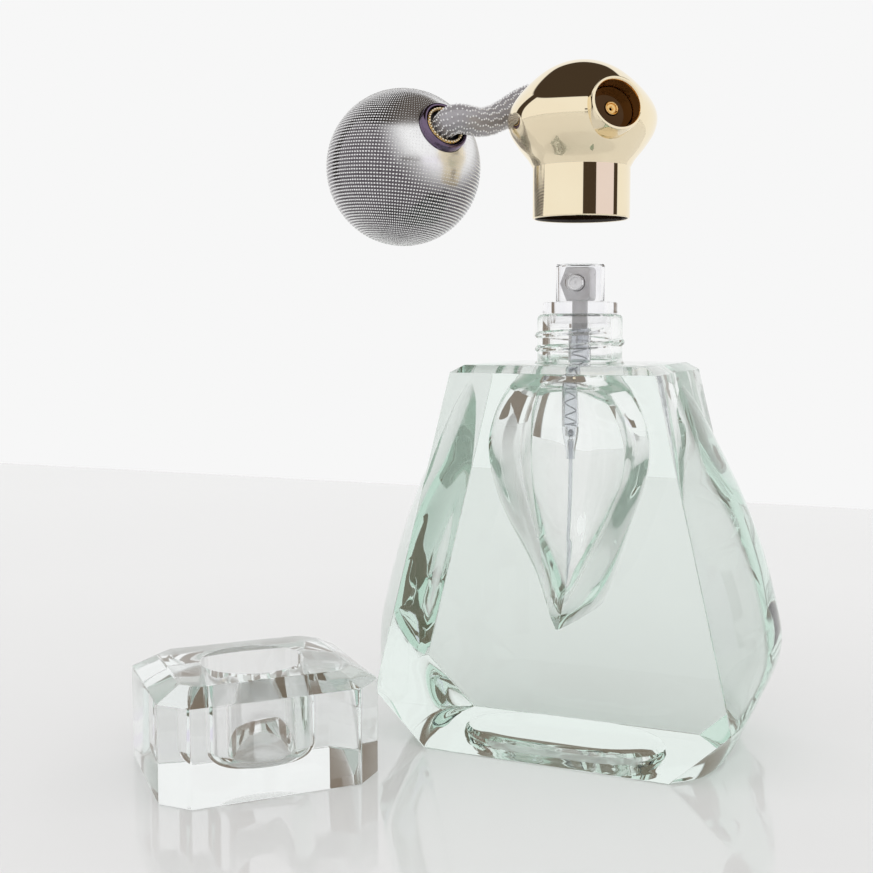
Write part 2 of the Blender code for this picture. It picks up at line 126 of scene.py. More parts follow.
uneven, ends_in, ends_out = effect("uneven_finish", (
    ("Scale", "NodeSocketFloat", 60.0), ("Detail", "NodeSocketFloat", 3.0),
    ("Cloud Low", "NodeSocketFloat", 0.3), ("Cloud High", "NodeSocketFloat", 0.7),
    ("Rough Low", "NodeSocketFloat", 0.1), ("Rough High", "NodeSocketFloat", 0.2),
    ("Color Low", "NodeSocketColor", (0.5, 0.5, 0.5, 1.0)),
    ("Color High", "NodeSocketColor", (0.5, 0.5, 0.5, 1.0)),
), (("Color", "NodeSocketColor"), ("Roughness", "NodeSocketFloat")))
where = uneven.nodes.new("ShaderNodeTexCoord")
cloud = uneven.nodes.new("ShaderNodeTexNoise")
uneven.links.new(where.outputs["Object"], cloud.inputs["Vector"])
uneven.links.new(ends_in.outputs["Scale"], cloud.inputs["Scale"])
uneven.links.new(ends_in.outputs["Detail"], cloud.inputs["Detail"])
gloss = uneven.nodes.new("ShaderNodeMapRange")
amount = uneven.nodes.new("ShaderNodeMapRange")
for ruler in (gloss, amount):
    uneven.links.new(cloud.outputs["Fac"], ruler.inputs["Value"])
    uneven.links.new(ends_in.outputs["Cloud Low"], ruler.inputs["From Min"])
    uneven.links.new(ends_in.outputs["Cloud High"], ruler.inputs["From Max"])
uneven.links.new(ends_in.outputs["Rough Low"], gloss.inputs["To Min"])
uneven.links.new(ends_in.outputs["Rough High"], gloss.inputs["To Max"])
uneven.links.new(gloss.outputs["Result"], ends_out.inputs["Roughness"])
shade = uneven.nodes.new("ShaderNodeMix")
shade.data_type = "RGBA"
uneven.links.new(amount.outputs["Result"], shade.inputs["Factor"])
uneven.links.new(ends_in.outputs["Color Low"], shade.inputs["A"])
uneven.links.new(ends_in.outputs["Color High"], shade.inputs["B"])
uneven.links.new(shade.outputs["Result"], ends_out.inputs["Color"])

table_paint, tree, shader = new_material("polished_white_acrylic")
shader.inputs["IOR"].default_value = 1.75
finish = put_effect(tree, uneven, {
    "Scale": 4.0, "Rough Low": 0.015, "Rough High": 0.03,
    "Color Low": (0.806, 0.806, 0.806, 1.0), "Color High": (0.814, 0.814, 0.814, 1.0)})
tree.links.new(finish.outputs["Color"], shader.inputs["Base Color"])
spot_on_table = tree.nodes.new("ShaderNodeTexCoord")
far_off = tree.nodes.new("ShaderNodeVectorMath")
far_off.operation = "LENGTH"
tree.links.new(spot_on_table.outputs["Object"], far_off.inputs[0])
matt = tree.nodes.new("ShaderNodeMapRange")
matt.inputs["From Min"].default_value = TABLE_POLISHED_TO
matt.inputs["From Max"].default_value = TABLE_MATT_FROM
matt.inputs["To Max"].default_value = TABLE_MATT
tree.links.new(far_off.outputs["Value"], matt.inputs["Value"])
dulled = tree.nodes.new("ShaderNodeMath")
dulled.operation = "ADD"
tree.links.new(finish.outputs["Roughness"], dulled.inputs[0])
tree.links.new(matt.outputs["Result"], dulled.inputs[1])
tree.links.new(dulled.outputs["Value"], shader.inputs["Roughness"])
table_mesh.materials.append(table_paint)

world = bpy.data.worlds.new("studio")
bpy.context.scene.world = world
world.use_nodes = True
sky = world.node_tree
sky.nodes.clear()


def sky_math(operation, *values):
    node = sky.nodes.new("ShaderNodeMath")
    node.operation = operation
    for socket, value in zip(node.inputs, values):
        if isinstance(value, (int, float)):
            socket.default_value = value
        else:
            sky.links.new(value, socket)
    return node.outputs["Value"]


def sky_between(value, low, high, soft):
    """1 between low and high, 0 outside, with soft edges."""
    rise = sky_math("SMOOTH_MIN", 1.0, sky_math("MAXIMUM", 0.0, sky_math(
        "DIVIDE", sky_math("SUBTRACT", value, low - soft), 2.0 * soft)), 0.05)
    fall = sky_math("SMOOTH_MIN", 1.0, sky_math("MAXIMUM", 0.0, sky_math(
        "DIVIDE", sky_math("SUBTRACT", high + soft, value), 2.0 * soft)), 0.05)
    return sky_math("MULTIPLY", rise, fall)


look = sky.nodes.new("ShaderNodeTexCoord")
parts = sky.nodes.new("ShaderNodeSeparateXYZ")
sky.links.new(look.outputs["Generated"], parts.inputs["Vector"])
height = sky_math("MULTIPLY", sky_math("ARCSINE", parts.outputs["Z"]), 180.0 / math.pi)
turn_to = math.radians(CAMERA_BEARING)
ahead = sky_math("ADD", sky_math("MULTIPLY", parts.outputs["X"], math.cos(turn_to)),
                 sky_math("MULTIPLY", parts.outputs["Y"], math.sin(turn_to)))
aside = sky_math("SUBTRACT", sky_math("MULTIPLY", parts.outputs["Y"], math.cos(turn_to)),
                 sky_math("MULTIPLY", parts.outputs["X"], math.sin(turn_to)))
bearing = sky_math("MULTIPLY", sky_math("ARCTAN2", aside, ahead), 180.0 / math.pi)

CANOPY_LEAN = 8.0
CANOPY_TURN = -168.0
CANOPY_RADIUS = 40.0
lean = math.radians(CANOPY_LEAN)
swing = math.radians(CANOPY_TURN)
axis = (math.sin(lean) * math.cos(swing), math.sin(lean) * math.sin(swing), math.cos(lean))
facing = sky_math("ADD", sky_math("ADD", sky_math("MULTIPLY", ahead, axis[0]),
                                  sky_math("MULTIPLY", aside, axis[1])),
                  sky_math("MULTIPLY", parts.outputs["Z"], axis[2]))
off_axis = sky_math("MULTIPLY", sky_math("ARCCOSINE", facing), 180.0 / math.pi)
canopy = sky_between(off_axis, -10.0, CANOPY_RADIUS, 1.0)

LOW_SCREENS = ((4.0, 35.0), (81.0, 93.0))
LOW_SCREENS_RISE = (3.0, 8.4)
TALL_SCREEN = (-124.0, -105.0)
TALL_SCREEN_RISE = (-20.0, 50.0)
GLASS_FLAG = (-150.0, -92.0)
GLASS_FLAG_RISE = (-20.0, 60.0)
FRONT_FLAG = (-40.0, 55.0)
FRONT_FLAG_RISE = (12.0, 50.0)
LAST_GLANCE = 3.5
low_band = sky_between(height, *LOW_SCREENS_RISE, 0.3)
screens = sky_math("MAXIMUM", sky_between(bearing, *LOW_SCREENS[0], 0.6),
                   sky_between(bearing, *LOW_SCREENS[1], 0.6))
screens = sky_math("MULTIPLY", screens, low_band)
tall = sky_math("MULTIPLY", sky_between(bearing, *TALL_SCREEN, 0.8),
                sky_between(height, *TALL_SCREEN_RISE, 1.0))
seen = sky.nodes.new("ShaderNodeLightPath")
flag = sky_math("MULTIPLY", sky_between(bearing, *GLASS_FLAG, 1.0),
                sky_between(height, *GLASS_FLAG_RISE, 1.0))
through_glass = sky_math("MAXIMUM", seen.outputs["Is Transmission Ray"],
                         sky_math("GREATER_THAN", seen.outputs["Glossy Depth"], LAST_GLANCE))
flag = sky_math("MAXIMUM", flag, sky_math(
    "MULTIPLY", sky_between(bearing, *FRONT_FLAG, 1.0), sky_between(height, *FRONT_FLAG_RISE, 1.0)))
flag = sky_math("MULTIPLY", flag, through_glass)
dark = sky_math("MAXIMUM", sky_math("MAXIMUM", canopy, flag), sky_math("MAXIMUM", screens, tall))
rosy = sky_math("MULTIPLY", sky_between(bearing, LOW_SCREENS[0][1], LOW_SCREENS[1][0], 0.6), low_band)

tone = sky.nodes.new("ShaderNodeMix")
tone.data_type = "RGBA"
sky.links.new(dark, tone.inputs["Factor"])
tone.inputs["A"].default_value = (0.95, 0.95, 0.95, 1.0)
tone.inputs["B"].default_value = (0.06, 0.043, 0.03, 1.0)
bright = sky.nodes.new("ShaderNodeMix")
bright.data_type = "RGBA"
sky.links.new(rosy, bright.inputs["Factor"])
sky.links.new(tone.outputs["Result"], bright.inputs["A"])
bright.inputs["B"].default_value = (0.86, 0.80, 0.92, 1.0)
softened = sky.nodes.new("ShaderNodeMix")
softened.data_type = "RGBA"
softened.blend_type = "LIGHTEN"
sky.links.new(through_glass, softened.inputs["Factor"])
sky.links.new(bright.outputs["Result"], softened.inputs["A"])
softened.inputs["B"].default_value = (0.22, 0.175, 0.135, 1.0)
shown = sky.nodes.new("ShaderNodeMix")
shown.data_type = "RGBA"
sky.links.new(seen.outputs["Is Camera Ray"], shown.inputs["Factor"])
sky.links.new(softened.outputs["Result"], shown.inputs["A"])
shown.inputs["B"].default_value = (0.93, 0.93, 0.93, 1.0)
glow = sky.nodes.new("ShaderNodeBackground")
sky.links.new(shown.outputs["Result"], glow.inputs["Color"])
sky_out = sky.nodes.new("ShaderNodeOutputWorld")
sky.links.new(glow.outputs["Background"], sky_out.inputs["Surface"])

ceiling_data = bpy.data.lights.new("ceiling_softbox", "AREA")
ceiling_data.shape = "DISK"
ceiling_data.size = 3.0
ceiling_data.energy = 20.0
ceiling = bpy.data.objects.new("ceiling_softbox", ceiling_data)
bpy.context.scene.collection.objects.link(ceiling)
ceiling.location = (0.0, 0.2, 1.6)
ceiling.visible_camera = False
ceiling.visible_glossy = False
ceiling.visible_transmission = False

# ---------------------------------------------------------------------------------------------
# Bottle. One solid block of pale green crystal, pressed and then ground and polished: flat front
# and back, bulging cut sides, a small deep well for the scent and a two-turn screw neck.
tube_low, tube_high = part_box("dip_tube")
NECK = Vector(((tube_low.x + tube_high.x) / 2.0, (tube_low.y + tube_high.y) / 2.0, 0.0)) / MM
BODY_HEIGHT = 83.4
BEVEL_FOOT = 81.8
TOP_HALF = (19.6, 19.4)
BEVEL_HALF = (22.1, 21.7)
FACE_FOOT_DEPTH = 24.3
FACE_OUTLINE = ((0.0, 26.9), (1.1, 28.0), (11.3, 39.0), (81.8, 22.1))
SIDE_OUTLINE = (
    (0.0, 34.2), (1.1, 35.3), (5.0, 37.5), (11.3, 40.3), (16.0, 42.4), (20.0, 43.8), (24.5, 44.5),
    (30.0, 43.8), (36.0, 42.4), (42.0, 40.7), (48.0, 38.5), (54.0, 36.0), (60.0, 33.0),
    (66.0, 30.0), (72.0, 27.0), (77.0, 24.3), (79.0, 22.8), (81.8, 22.1),
)
BULGE_ARCH = ((0.0, 0.97), (58.0, 0.97), (63.0, 0.87), (69.0, 0.69), (75.0, 0.44), (79.0, 0.08))
BULGE_POWER = ((0.0, 4.5), (14.0, 3.2), (30.0, 2.4))
NECK_TOP = 94.3
NECK_RADIUS = 9.35
BORE_RADIUS = 7.0
THREAD_PITCH = 3.0
THREAD_TURNS = 1.8
THREAD_FOOT = 85.4
THREAD_DEPTH = 0.55
THREAD_HALF_HEIGHT = 0.75
PUNT_LENGTH = 46.0
PUNT_WIDTH = 32.0
WELL_WIDTH = (
    (26.6, 0.9), (31.0, 4.8), (39.0, 9.2), (46.0, 12.5), (52.0, 15.0), (58.0, 17.0), (65.0, 18.0),
    (71.0, 17.0), (76.0, 14.9), (79.2, 12.6), (80.7, 10.4),
)
WELL_DEPTH = (
    (26.6, 8.0), (31.0, 10.4), (39.0, 10.8), (46.0, 11.1), (52.0, 11.4), (58.0, 11.7), (65.0, 12.0),
    (71.0, 12.0), (76.0, 11.5), (79.2, 10.8), (80.7, 9.6),
)
WELL_CORNER = (0.7, 0.9)
WELL_CORNER_POWER = 1.5
WELL_LEAN = (6.0, -1.6, 4.2, 3.2)
WELL_LEAN_OVER = 28.0
WELL_HOLLOW = 0.036


def between(table_rows, value):
    return float(np.interp(value, [row[0] for row in table_rows], [row[1] for row in table_rows]))


def smooth_between(table_rows, value):
    """Catmull-Rom reading of a (height, size) table."""
    rows = list(table_rows)
    if value <= rows[0][0]:
        return rows[0][1]
    for i in range(len(rows) - 1):
        if value <= rows[i + 1][0]:
            break
    z0, z1 = rows[i][0], rows[i + 1][0]
    before = rows[max(i - 1, 0)]
    after = rows[min(i + 2, len(rows) - 1)]
    slope0 = (rows[i + 1][1] - before[1]) / (rows[i + 1][0] - before[0])
    slope1 = (after[1] - rows[i][1]) / (after[0] - rows[i][0])
    t = (value - z0) / (z1 - z0)
    t = min(max(t, 0.0), 1.0)
    span = z1 - z0
    return ((2 * t ** 3 - 3 * t ** 2 + 1) * rows[i][1] + (t ** 3 - 2 * t ** 2 + t) * span * slope0
            + (3 * t ** 2 - 2 * t ** 3) * rows[i + 1][1] + (t ** 3 - t ** 2) * span * slope1)


def loft(name, rings):
    """A closed skin over rings of (x, y, z) in millimetres, bottom ring first."""
    mesh = bpy.data.meshes.new(name)
    count = len(rings[0])
    verts = [(x * MM, y * MM, z * MM) for ring in rings for x, y, z in ring]
    faces = [tuple(reversed(range(count)))]
    for level in range(len(rings) - 1):
        low = level * count
        for i in range(count):
            j = (i + 1) % count
            faces.append((low + i, low + j, low + count + j, low + count + i))
    top = (len(rings) - 1) * count
    faces.append(tuple(range(top, top + count)))
    mesh.from_pydata(verts, [], faces)
    return mesh


def closed_mesh(name, work):
    """The mesh of a piece of bmesh work, with its faces turned outwards."""
    bmesh.ops.recalc_face_normals(work, faces=work.faces)
    mesh = bpy.data.meshes.new(name)
    work.to_mesh(mesh)
    work.free()
    return mesh


def spun(name, outline, steps=64, closed=False):
    """A turned shape: (radius, height) pairs in millimetres, running down the outer side."""
    work = bmesh.new()
    rings = []
    for r, z in outline:
        if r < 1e-6:
            rings.append([work.verts.new((0.0, 0.0, z * MM))])
        else:
            rings.append([
                work.verts.new((r * MM * math.cos(2 * math.pi * i / steps),
                                r * MM * math.sin(2 * math.pi * i / steps), z * MM))
                for i in range(steps)
            ])
    pairs = list(zip(rings, rings[1:]))
    if closed:
        pairs.append((rings[-1], rings[0]))
    for upper, lower in pairs:
        for i in range(steps):
            j = (i + 1) % steps
            if len(upper) == 1 and len(lower) == 1:
                continue
            if len(upper) == 1:
                work.faces.new((upper[0], lower[i], lower[j]))
            elif len(lower) == 1:
                work.faces.new((upper[i], lower[0], upper[j]))
            else:
                work.faces.new((upper[i], lower[i], lower[j], upper[j]))
    return closed_mesh(name, work)


def tool(name, mesh, spot=NECK, turn=None):
    """A mesh stood at a spot in millimetres, to carve a piece with."""
    ob = bpy.data.objects.new(name, mesh)
    bpy.context.scene.collection.objects.link(ob)
    ob.location = spot * MM
    if turn is not None:
        ob.rotation_mode = "QUATERNION"
        ob.rotation_quaternion = turn
    return ob


def put_finish(piece, mat, smooth=0.0):
    """Gives a piece its one finish, and shades it smooth but for edges sharper than the angle."""
    piece.data.materials.clear()
    piece.data.materials.append(mat)
    if smooth:
        piece.data.shade_smooth()
        piece.data.set_sharp_from_angle(angle=math.radians(smooth))


def place_piece(name, mesh, mat, spot=NECK, turn=None, smooth=35.0):
    piece = tool(name, mesh, spot, turn)
    put_finish(piece, mat, smooth)
    return piece


def ease_edges(piece, width, segments, angle):
    """Takes off the edges that are sharper than the angle with a narrow bevel."""
    edge = piece.modifiers.new("eased_edges", "BEVEL")
    edge.width = width * MM
    edge.segments = segments
    edge.limit_method = "ANGLE"
    edge.angle_limit = math.radians(angle)


def carve(target, tools):
    """Joins or cuts the tools into the target, keeps the result and removes the tools."""
    for cutter, operation in tools:
        step = target.modifiers.new("carve", "BOOLEAN")
        step.operation = operation
        step.solver = "EXACT"
        step.object = cutter
    ready = target.evaluated_get(bpy.context.evaluated_depsgraph_get())
    result = bpy.data.meshes.new_from_object(ready)
    target.modifiers.clear()
    target.data = result
    for cutter, _ in tools:
        bpy.data.objects.remove(cutter, do_unlink=True)


def rod(name, radius, low, high, steps=64):
    return spun(name, ((0.0, high), (radius, high), (radius, low), (0.0, low)), steps)


def bottle_ring(level, steps=24):
    """One level of the body: flat front and back, and sides that bulge inside an arch."""
    half_width = between(FACE_OUTLINE, level)
    half_depth = BEVEL_HALF[1] + (FACE_FOOT_DEPTH - BEVEL_HALF[1]) * (1.0 - level / BEVEL_FOOT)
    swell = max(smooth_between(SIDE_OUTLINE, level) - half_width, 0.0)
    arch = between(BULGE_ARCH, level)
    power = between(BULGE_POWER, level)
    right = [(half_width, -half_depth, level)]
    for i in range(steps + 1):
        t = -1.0 + 2.0 * i / steps
        right.append((half_width + swell * (1.0 - abs(t) ** power), t * arch * half_depth, level))
    right.append((half_width, half_depth, level))
    return right + [(-x, -y, z) for x, y, z in right]


def well_ring(level, facets=3, steps=4):
    """One level of the well: a rectangle whose corners are ground in flat cuts."""
    half_x = smooth_between(WELL_WIDTH, level)
    half_y = smooth_between(WELL_DEPTH, level)
    cut_x = WELL_CORNER[0] * half_x
    cut_y = WELL_CORNER[1] * half_y
    corners = []
    for quarter, (side_x, side_y) in enumerate(((1.0, 1.0), (-1.0, 1.0), (-1.0, -1.0), (1.0, -1.0))):
        for i in range(facets + 1):
            a = math.radians(90.0 * (quarter + i / facets))
            over = math.copysign(abs(math.cos(a)) ** WELL_CORNER_POWER, math.cos(a))
            along = math.copysign(abs(math.sin(a)) ** WELL_CORNER_POWER, math.sin(a))
            corners.append((side_x * (half_x - cut_x) + cut_x * over,
                            side_y * (half_y - cut_y) + cut_y * along))
    t = min(max((level - WELL_WIDTH[0][0]) / WELL_LEAN_OVER, 0.0), 1.0)
    fade = 1.0 - t * t * (3.0 - 2.0 * t)
    lean_x, lean_front, lean_back, lean_z = WELL_LEAN

    def leaned(x, y):
        k = (y + half_y) / (2.0 * half_y)
        return (x + lean_x * k * fade, y + (lean_front + (lean_back - lean_front) * k) * fade,
                level + lean_z * k * fade)

    ring = []
    for (x0, y0), (x1, y1) in zip(corners, corners[1:] + corners[:1]):
        for k in range(steps):
            t = k / steps
            hollow = WELL_HOLLOW * math.sin(math.pi * t)
            ring.append(leaned(x0 + (x1 - x0) * t + (y1 - y0) * hollow,
                               y0 + (y1 - y0) * t - (x1 - x0) * hollow))
    return ring


def thread_mesh(name, radius, low, turns, pitch, depth, half_height, per_turn=48):
    """A rounded ridge wound round the neck that runs out to nothing at both ends."""
    section = [(-1.0, -1.0), (0.25, -0.9), (0.8, -0.45), (1.0, 0.0), (0.8, 0.45), (0.25, 0.9), (-1.0, 1.0)]
    total = int(turns * per_turn)
    rings = []
    for i in range(total + 1):
        a = math.pi * 0.3 + 2.0 * math.pi * i / per_turn
        fade = min(1.0, i / 8.0, (total - i) / 8.0)
        fade = max(fade, 0.02)
        z = low + pitch * i / per_turn
        rings.append([((radius + out * depth * (fade if out > 0 else 1.0)) * math.cos(a),
                       (radius + out * depth * (fade if out > 0 else 1.0)) * math.sin(a),
                       z + up * half_height) for out, up in section])
    work = bmesh.new()
    grid = [[work.verts.new(Vector(p) * MM) for p in ring] for ring in rings]
    count = len(section)
    for low_ring, high_ring in zip(grid, grid[1:]):
        for i in range(count):
            j = (i + 1) % count
            work.faces.new((low_ring[i], low_ring[j], high_ring[j], high_ring[i]))
    work.faces.new(grid[0][::-1])
    work.faces.new(grid[-1])
    return closed_mesh(name, work)


def stadium(name, length, width, levels, steps=20):
    """A slot-shaped block: (height, inset) levels, with the outline pulled in by the inset."""
    rings = []
    for z, inset in levels:
        radius = width / 2.0 - inset
        straight = (length - width) / 2.0
        ring = []
        for sign in (1.0, -1.0):
            for i in range(steps + 1):
                a = -math.pi / 2.0 + math.pi * i / steps
                ring.append((sign * (straight + radius * math.cos(a)), sign * radius * math.sin(a), z))
        rings.append(ring)
    return loft(name, rings)


def let_light_through(tree, shader, shadow):
    """Lamps shine on through the clear piece, and so does light that has been thrown about inside it."""
    path = tree.nodes.new("ShaderNodeLightPath")
    clear = tree.nodes.new("ShaderNodeBsdfTransparent")
    clear.inputs["Color"].default_value = (*shadow, 1.0)
    split = tree.nodes.new("ShaderNodeMixShader")
    trapped = tree.nodes.new("ShaderNodeMath")
    trapped.operation = "GREATER_THAN"
    trapped.inputs[1].default_value = LAST_GLANCE
    tree.links.new(path.outputs["Glossy Depth"], trapped.inputs[0])
    passing = tree.nodes.new("ShaderNodeMath")
    passing.operation = "MAXIMUM"
    tree.links.new(path.outputs["Is Shadow Ray"], passing.inputs[0])
    tree.links.new(trapped.outputs["Value"], passing.inputs[1])
    tree.links.new(passing.outputs["Value"], split.inputs["Fac"])
    tree.links.new(shader.outputs["BSDF"], split.inputs[1])
    tree.links.new(clear.outputs["BSDF"], split.inputs[2])
    tree.links.new(split.outputs["Shader"], tree.nodes["Material Output"].inputs["Surface"])


hand_polish, ends_in, ends_out = effect("hand_polish", (
    ("Scale", "NodeSocketFloat", 35.0), ("Ripple", "NodeSocketFloat", 0.02),
), (("Normal", "NodeSocketVector"),))
where = hand_polish.nodes.new("ShaderNodeTexCoord")
wave = hand_polish.nodes.new("ShaderNodeTexNoise")
wave.inputs["Detail"].default_value = 1.0
hand_polish.links.new(where.outputs["Object"], wave.inputs["Vector"])
hand_polish.links.new(ends_in.outputs["Scale"], wave.inputs["Scale"])
bump = hand_polish.nodes.new("ShaderNodeBump")
bump.inputs["Distance"].default_value = 0.0002
hand_polish.links.new(ends_in.outputs["Ripple"], bump.inputs["Strength"])
hand_polish.links.new(wave.outputs["Fac"], bump.inputs["Height"])
hand_polish.links.new(bump.outputs["Normal"], ends_out.inputs["Normal"])


def crystal(name, colour, density, ripple, shadow):
    """Clear crystal: polished surface, faint smears of polish, colour that deepens with thickness."""
    mat, tree, shader = new_material(name)
    shader.inputs["Base Color"].default_value = (1.0, 1.0, 1.0, 1.0)
    shader.inputs["Transmission Weight"].default_value = 1.0
    shader.inputs["IOR"].default_value = 1.52
    smear = put_effect(tree, uneven, {"Scale": 60.0, "Detail": 4.0, "Cloud Low": 0.45, "Cloud High": 0.75,
                                      "Rough Low": 0.0, "Rough High": 0.012})
    tree.links.new(smear.outputs["Roughness"], shader.inputs["Roughness"])
    rippled = put_effect(tree, hand_polish, {"Ripple": ripple})
    tree.links.new(rippled.outputs["Normal"], shader.inputs["Normal"])
    depth = tree.nodes.new("ShaderNodeVolumeAbsorption")
    depth.inputs["Color"].default_value = (*colour, 1.0)
    depth.inputs["Density"].default_value = density
    out = tree.nodes["Material Output"]
    tree.links.new(depth.outputs["Volume"], out.inputs["Volume"])
    let_light_through(tree, shader, shadow)
    return mat


bottle_glass = crystal("pale_green_crystal", (0.56, 0.77, 0.66), 7.5, 0.02, (0.92, 0.945, 0.935))
levels = [0.0, 0.5, 1.1, 2.5, 3.8, 5.0, 6.6, 8.2, 9.8, 11.3, 12.8, 14.4]
levels += [16.0 + 2.0 * i for i in range(32)] + [78.6, 79.0, 80.4]
rings = [bottle_ring(z) for z in levels if z < BEVEL_FOOT]
rings.append(bottle_ring(BEVEL_FOOT))
rings.append([(x * TOP_HALF[0] / BEVEL_HALF[0], y * TOP_HALF[1] / BEVEL_HALF[1], BODY_HEIGHT)
              for x, y, _ in rings[-1]])
bottle = place_piece("bottle", loft("bottle", rings), bottle_glass, smooth=0.0)
ease_edges(bottle, 0.35, 2, 25.0)
neck_blank = spun("neck_blank", (
    (0.0, NECK_TOP), (7.6, NECK_TOP), (8.3, NECK_TOP - 0.05), (8.9, NECK_TOP - 0.25),
    (9.2, NECK_TOP - 0.6), (NECK_RADIUS, NECK_TOP - 1.1), (NECK_RADIUS, 84.6), (9.5, 83.9), (9.9, 83.5),
    (9.9, 82.0), (0.0, 82.0),
), 96)
well_levels = [26.6, 27.6, 28.8, 30.0, 31.0] + [32.5 + 1.5 * i for i in range(31)]
well_levels += [78.2, 79.2, 79.9, 80.4, 80.7]
carve(bottle, [
    (tool("neck", neck_blank), "UNION"),
    (tool("thread", thread_mesh("thread", NECK_RADIUS, THREAD_FOOT, THREAD_TURNS, THREAD_PITCH,
                                THREAD_DEPTH, THREAD_HALF_HEIGHT)), "UNION"),
    (tool("well", loft("well", [well_ring(z) for z in well_levels])), "DIFFERENCE"),
    (tool("bore", rod("bore", BORE_RADIUS, 78.0, 97.0, 96)), "DIFFERENCE"),
    (tool("punt", stadium("punt", PUNT_LENGTH, PUNT_WIDTH, (
        (-1.0, 0.0), (0.4, 0.0), (1.4, 0.35), (2.1, 1.1), (2.5, 2.4), (2.6, 4.0)))), "DIFFERENCE"),
])
put_finish(bottle, bottle_glass, 20.0)
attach(bottle, "bottle")
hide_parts("glass_bottle")

# ---------------------------------------------------------------------------------------------
# Cap. A block of the same crystal with cut corners and a wide ground bevel, lying on its crown:
# the blind bore that goes over the pump and the neck looks up.
cap_low, cap_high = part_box("glass_cap")
CAP_SPOT = Vector(((cap_low.x + cap_high.x) / 2.0, (cap_low.y + cap_high.y) / 2.0, 0.0)) / MM
CAP_TURN = 46.4
CAP_HALF = (22.5, 20.0)
CAP_CORNER = 5.4
CAP_BEVEL = 5.0
CAP_SHOULDER = 19.7
CAP_HEIGHT = (cap_high.z - cap_low.z) / MM
CAP_CROWN_CORNER = 3.328
CAP_BORE = 10.75
CAP_FLOOR = 3.8
CAP_FLOOR_ROUND = 3.0


def block_ring(half_x, half_y, corner, level):
    return [
        (half_x, -half_y + corner, level), (half_x, half_y - corner, level),
        (half_x - corner, half_y, level), (-half_x + corner, half_y, level),
        (-half_x, half_y - corner, level), (-half_x, -half_y + corner, level),
        (-half_x + corner, -half_y, level), (half_x - corner, -half_y, level),
    ]


cap_rings = [
    block_ring(CAP_HALF[0], CAP_HALF[1], CAP_CORNER, 0.0),
    block_ring(CAP_HALF[0], CAP_HALF[1], CAP_CORNER, CAP_SHOULDER),
    block_ring(CAP_HALF[0] - CAP_BEVEL, CAP_HALF[1] - CAP_BEVEL, CAP_CROWN_CORNER, CAP_HEIGHT),
]
cap_glass = crystal("clear_crystal", (0.62, 0.74, 0.70), 4.5, 0.015, (0.92, 0.94, 0.935))
cap_turn = Matrix.Rotation(math.radians(CAP_TURN), 4, "Z").to_quaternion()
cap = place_piece("cap", loft("cap", cap_rings), cap_glass, CAP_SPOT, cap_turn, smooth=0.0)
ease_edges(cap, 0.3, 2, 15.0)
arc = [(CAP_BORE - CAP_FLOOR_ROUND * (1.0 - math.cos(a)), CAP_FLOOR + CAP_FLOOR_ROUND * (1.0 - math.sin(a)))
       for a in [math.radians(9.0 * i) for i in range(11)]]
bore = spun("cap_bore", [
    (0.0, CAP_HEIGHT + 2.0), (CAP_BORE, CAP_HEIGHT + 2.0), *arc, (0.0, CAP_FLOOR),
], 96)
carve(cap, [(tool("cap_bore", bore, CAP_SPOT), "DIFFERENCE")])
put_finish(cap, cap_glass, 20.0)
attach(cap, "cap")
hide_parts("glass_cap")

# ---------------------------------------------------------------------------------------------
# Pump. A clear moulded collar with a well for the button, clipped in the neck over a thin gasket,
# and under it the pump's barrel with its piston, wire spring, check ball and dip tube.
def moulded(name, colour, rough_low, rough_high, clear=0.0, ior=1.46):
    """Moulded plastic with the faint flow and rubbing that varies its gloss."""
    mat, tree, shader = new_material(name)
    shader.inputs["Transmission Weight"].default_value = clear
    shader.inputs["IOR"].default_value = ior
    flow = put_effect(tree, uneven, {
        "Scale": 220.0, "Rough Low": rough_low, "Rough High": rough_high,
        "Color Low": (*[c * 0.97 for c in colour], 1.0),
        "Color High": (*[min(c * 1.03, 1.0) for c in colour], 1.0)})
    tree.links.new(flow.outputs["Color"], shader.inputs["Base Color"])
    tree.links.new(flow.outputs["Roughness"], shader.inputs["Roughness"])
    return mat


clear_plastic = moulded("clear_plastic", (0.97, 0.97, 0.99), 0.02, 0.07, 1.0, 1.2)
frosted_plastic = moulded("frosted_barrel_plastic", (0.93, 0.94, 0.97), 0.08, 0.16, 0.9, 1.25)
grey_plastic = moulded("pale_grey_plastic", (0.93, 0.925, 0.935), 0.25, 0.4)
rubber = moulded("black_rubber", (0.05, 0.045, 0.05), 0.5, 0.7)

collar = place_piece("collar", spun("collar", (
    (7.9, 96.8), (8.08, 96.73), (8.15, 96.55), (8.15, 94.5), (8.08, 94.4), (6.75, 94.4), (6.75, 91.2),
    (2.0, 91.2), (2.0, 92.0), (5.75, 92.0), (5.75, 96.7), (5.85, 96.8),
), 72, True), clear_plastic)
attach(collar, "bottle")
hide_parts("pump_collar", "neck_gasket")

barrel = place_piece("barrel", spun("barrel", (
    (4.2, 90.9), (4.2, 90.1), (2.6, 90.1), (2.45, 89.8), (2.45, 68.6), (2.2, 67.2), (1.6, 65.0),
    (1.3, 63.4), (1.25, 62.0), (0.8, 62.0), (0.8, 66.4), (0.5, 66.6), (0.5, 67.2), (1.3, 67.4),
    (1.3, 69.6), (2.05, 69.6), (2.05, 90.9),
), 48, True), frosted_plastic)
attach(barrel, "bottle")
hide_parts("pump_housing")

bright_wire, tree, shader = new_material("bright_spring_wire")
shader.inputs["Metallic"].default_value = 1.0
draw = put_effect(tree, uneven, {
    "Scale": 500.0, "Detail": 2.0, "Rough Low": 0.16, "Rough High": 0.3,
    "Color Low": (0.47, 0.47, 0.51, 1.0), "Color High": (0.53, 0.53, 0.57, 1.0)})
tree.links.new(draw.outputs["Color"], shader.inputs["Base Color"])
tree.links.new(draw.outputs["Roughness"], shader.inputs["Roughness"])


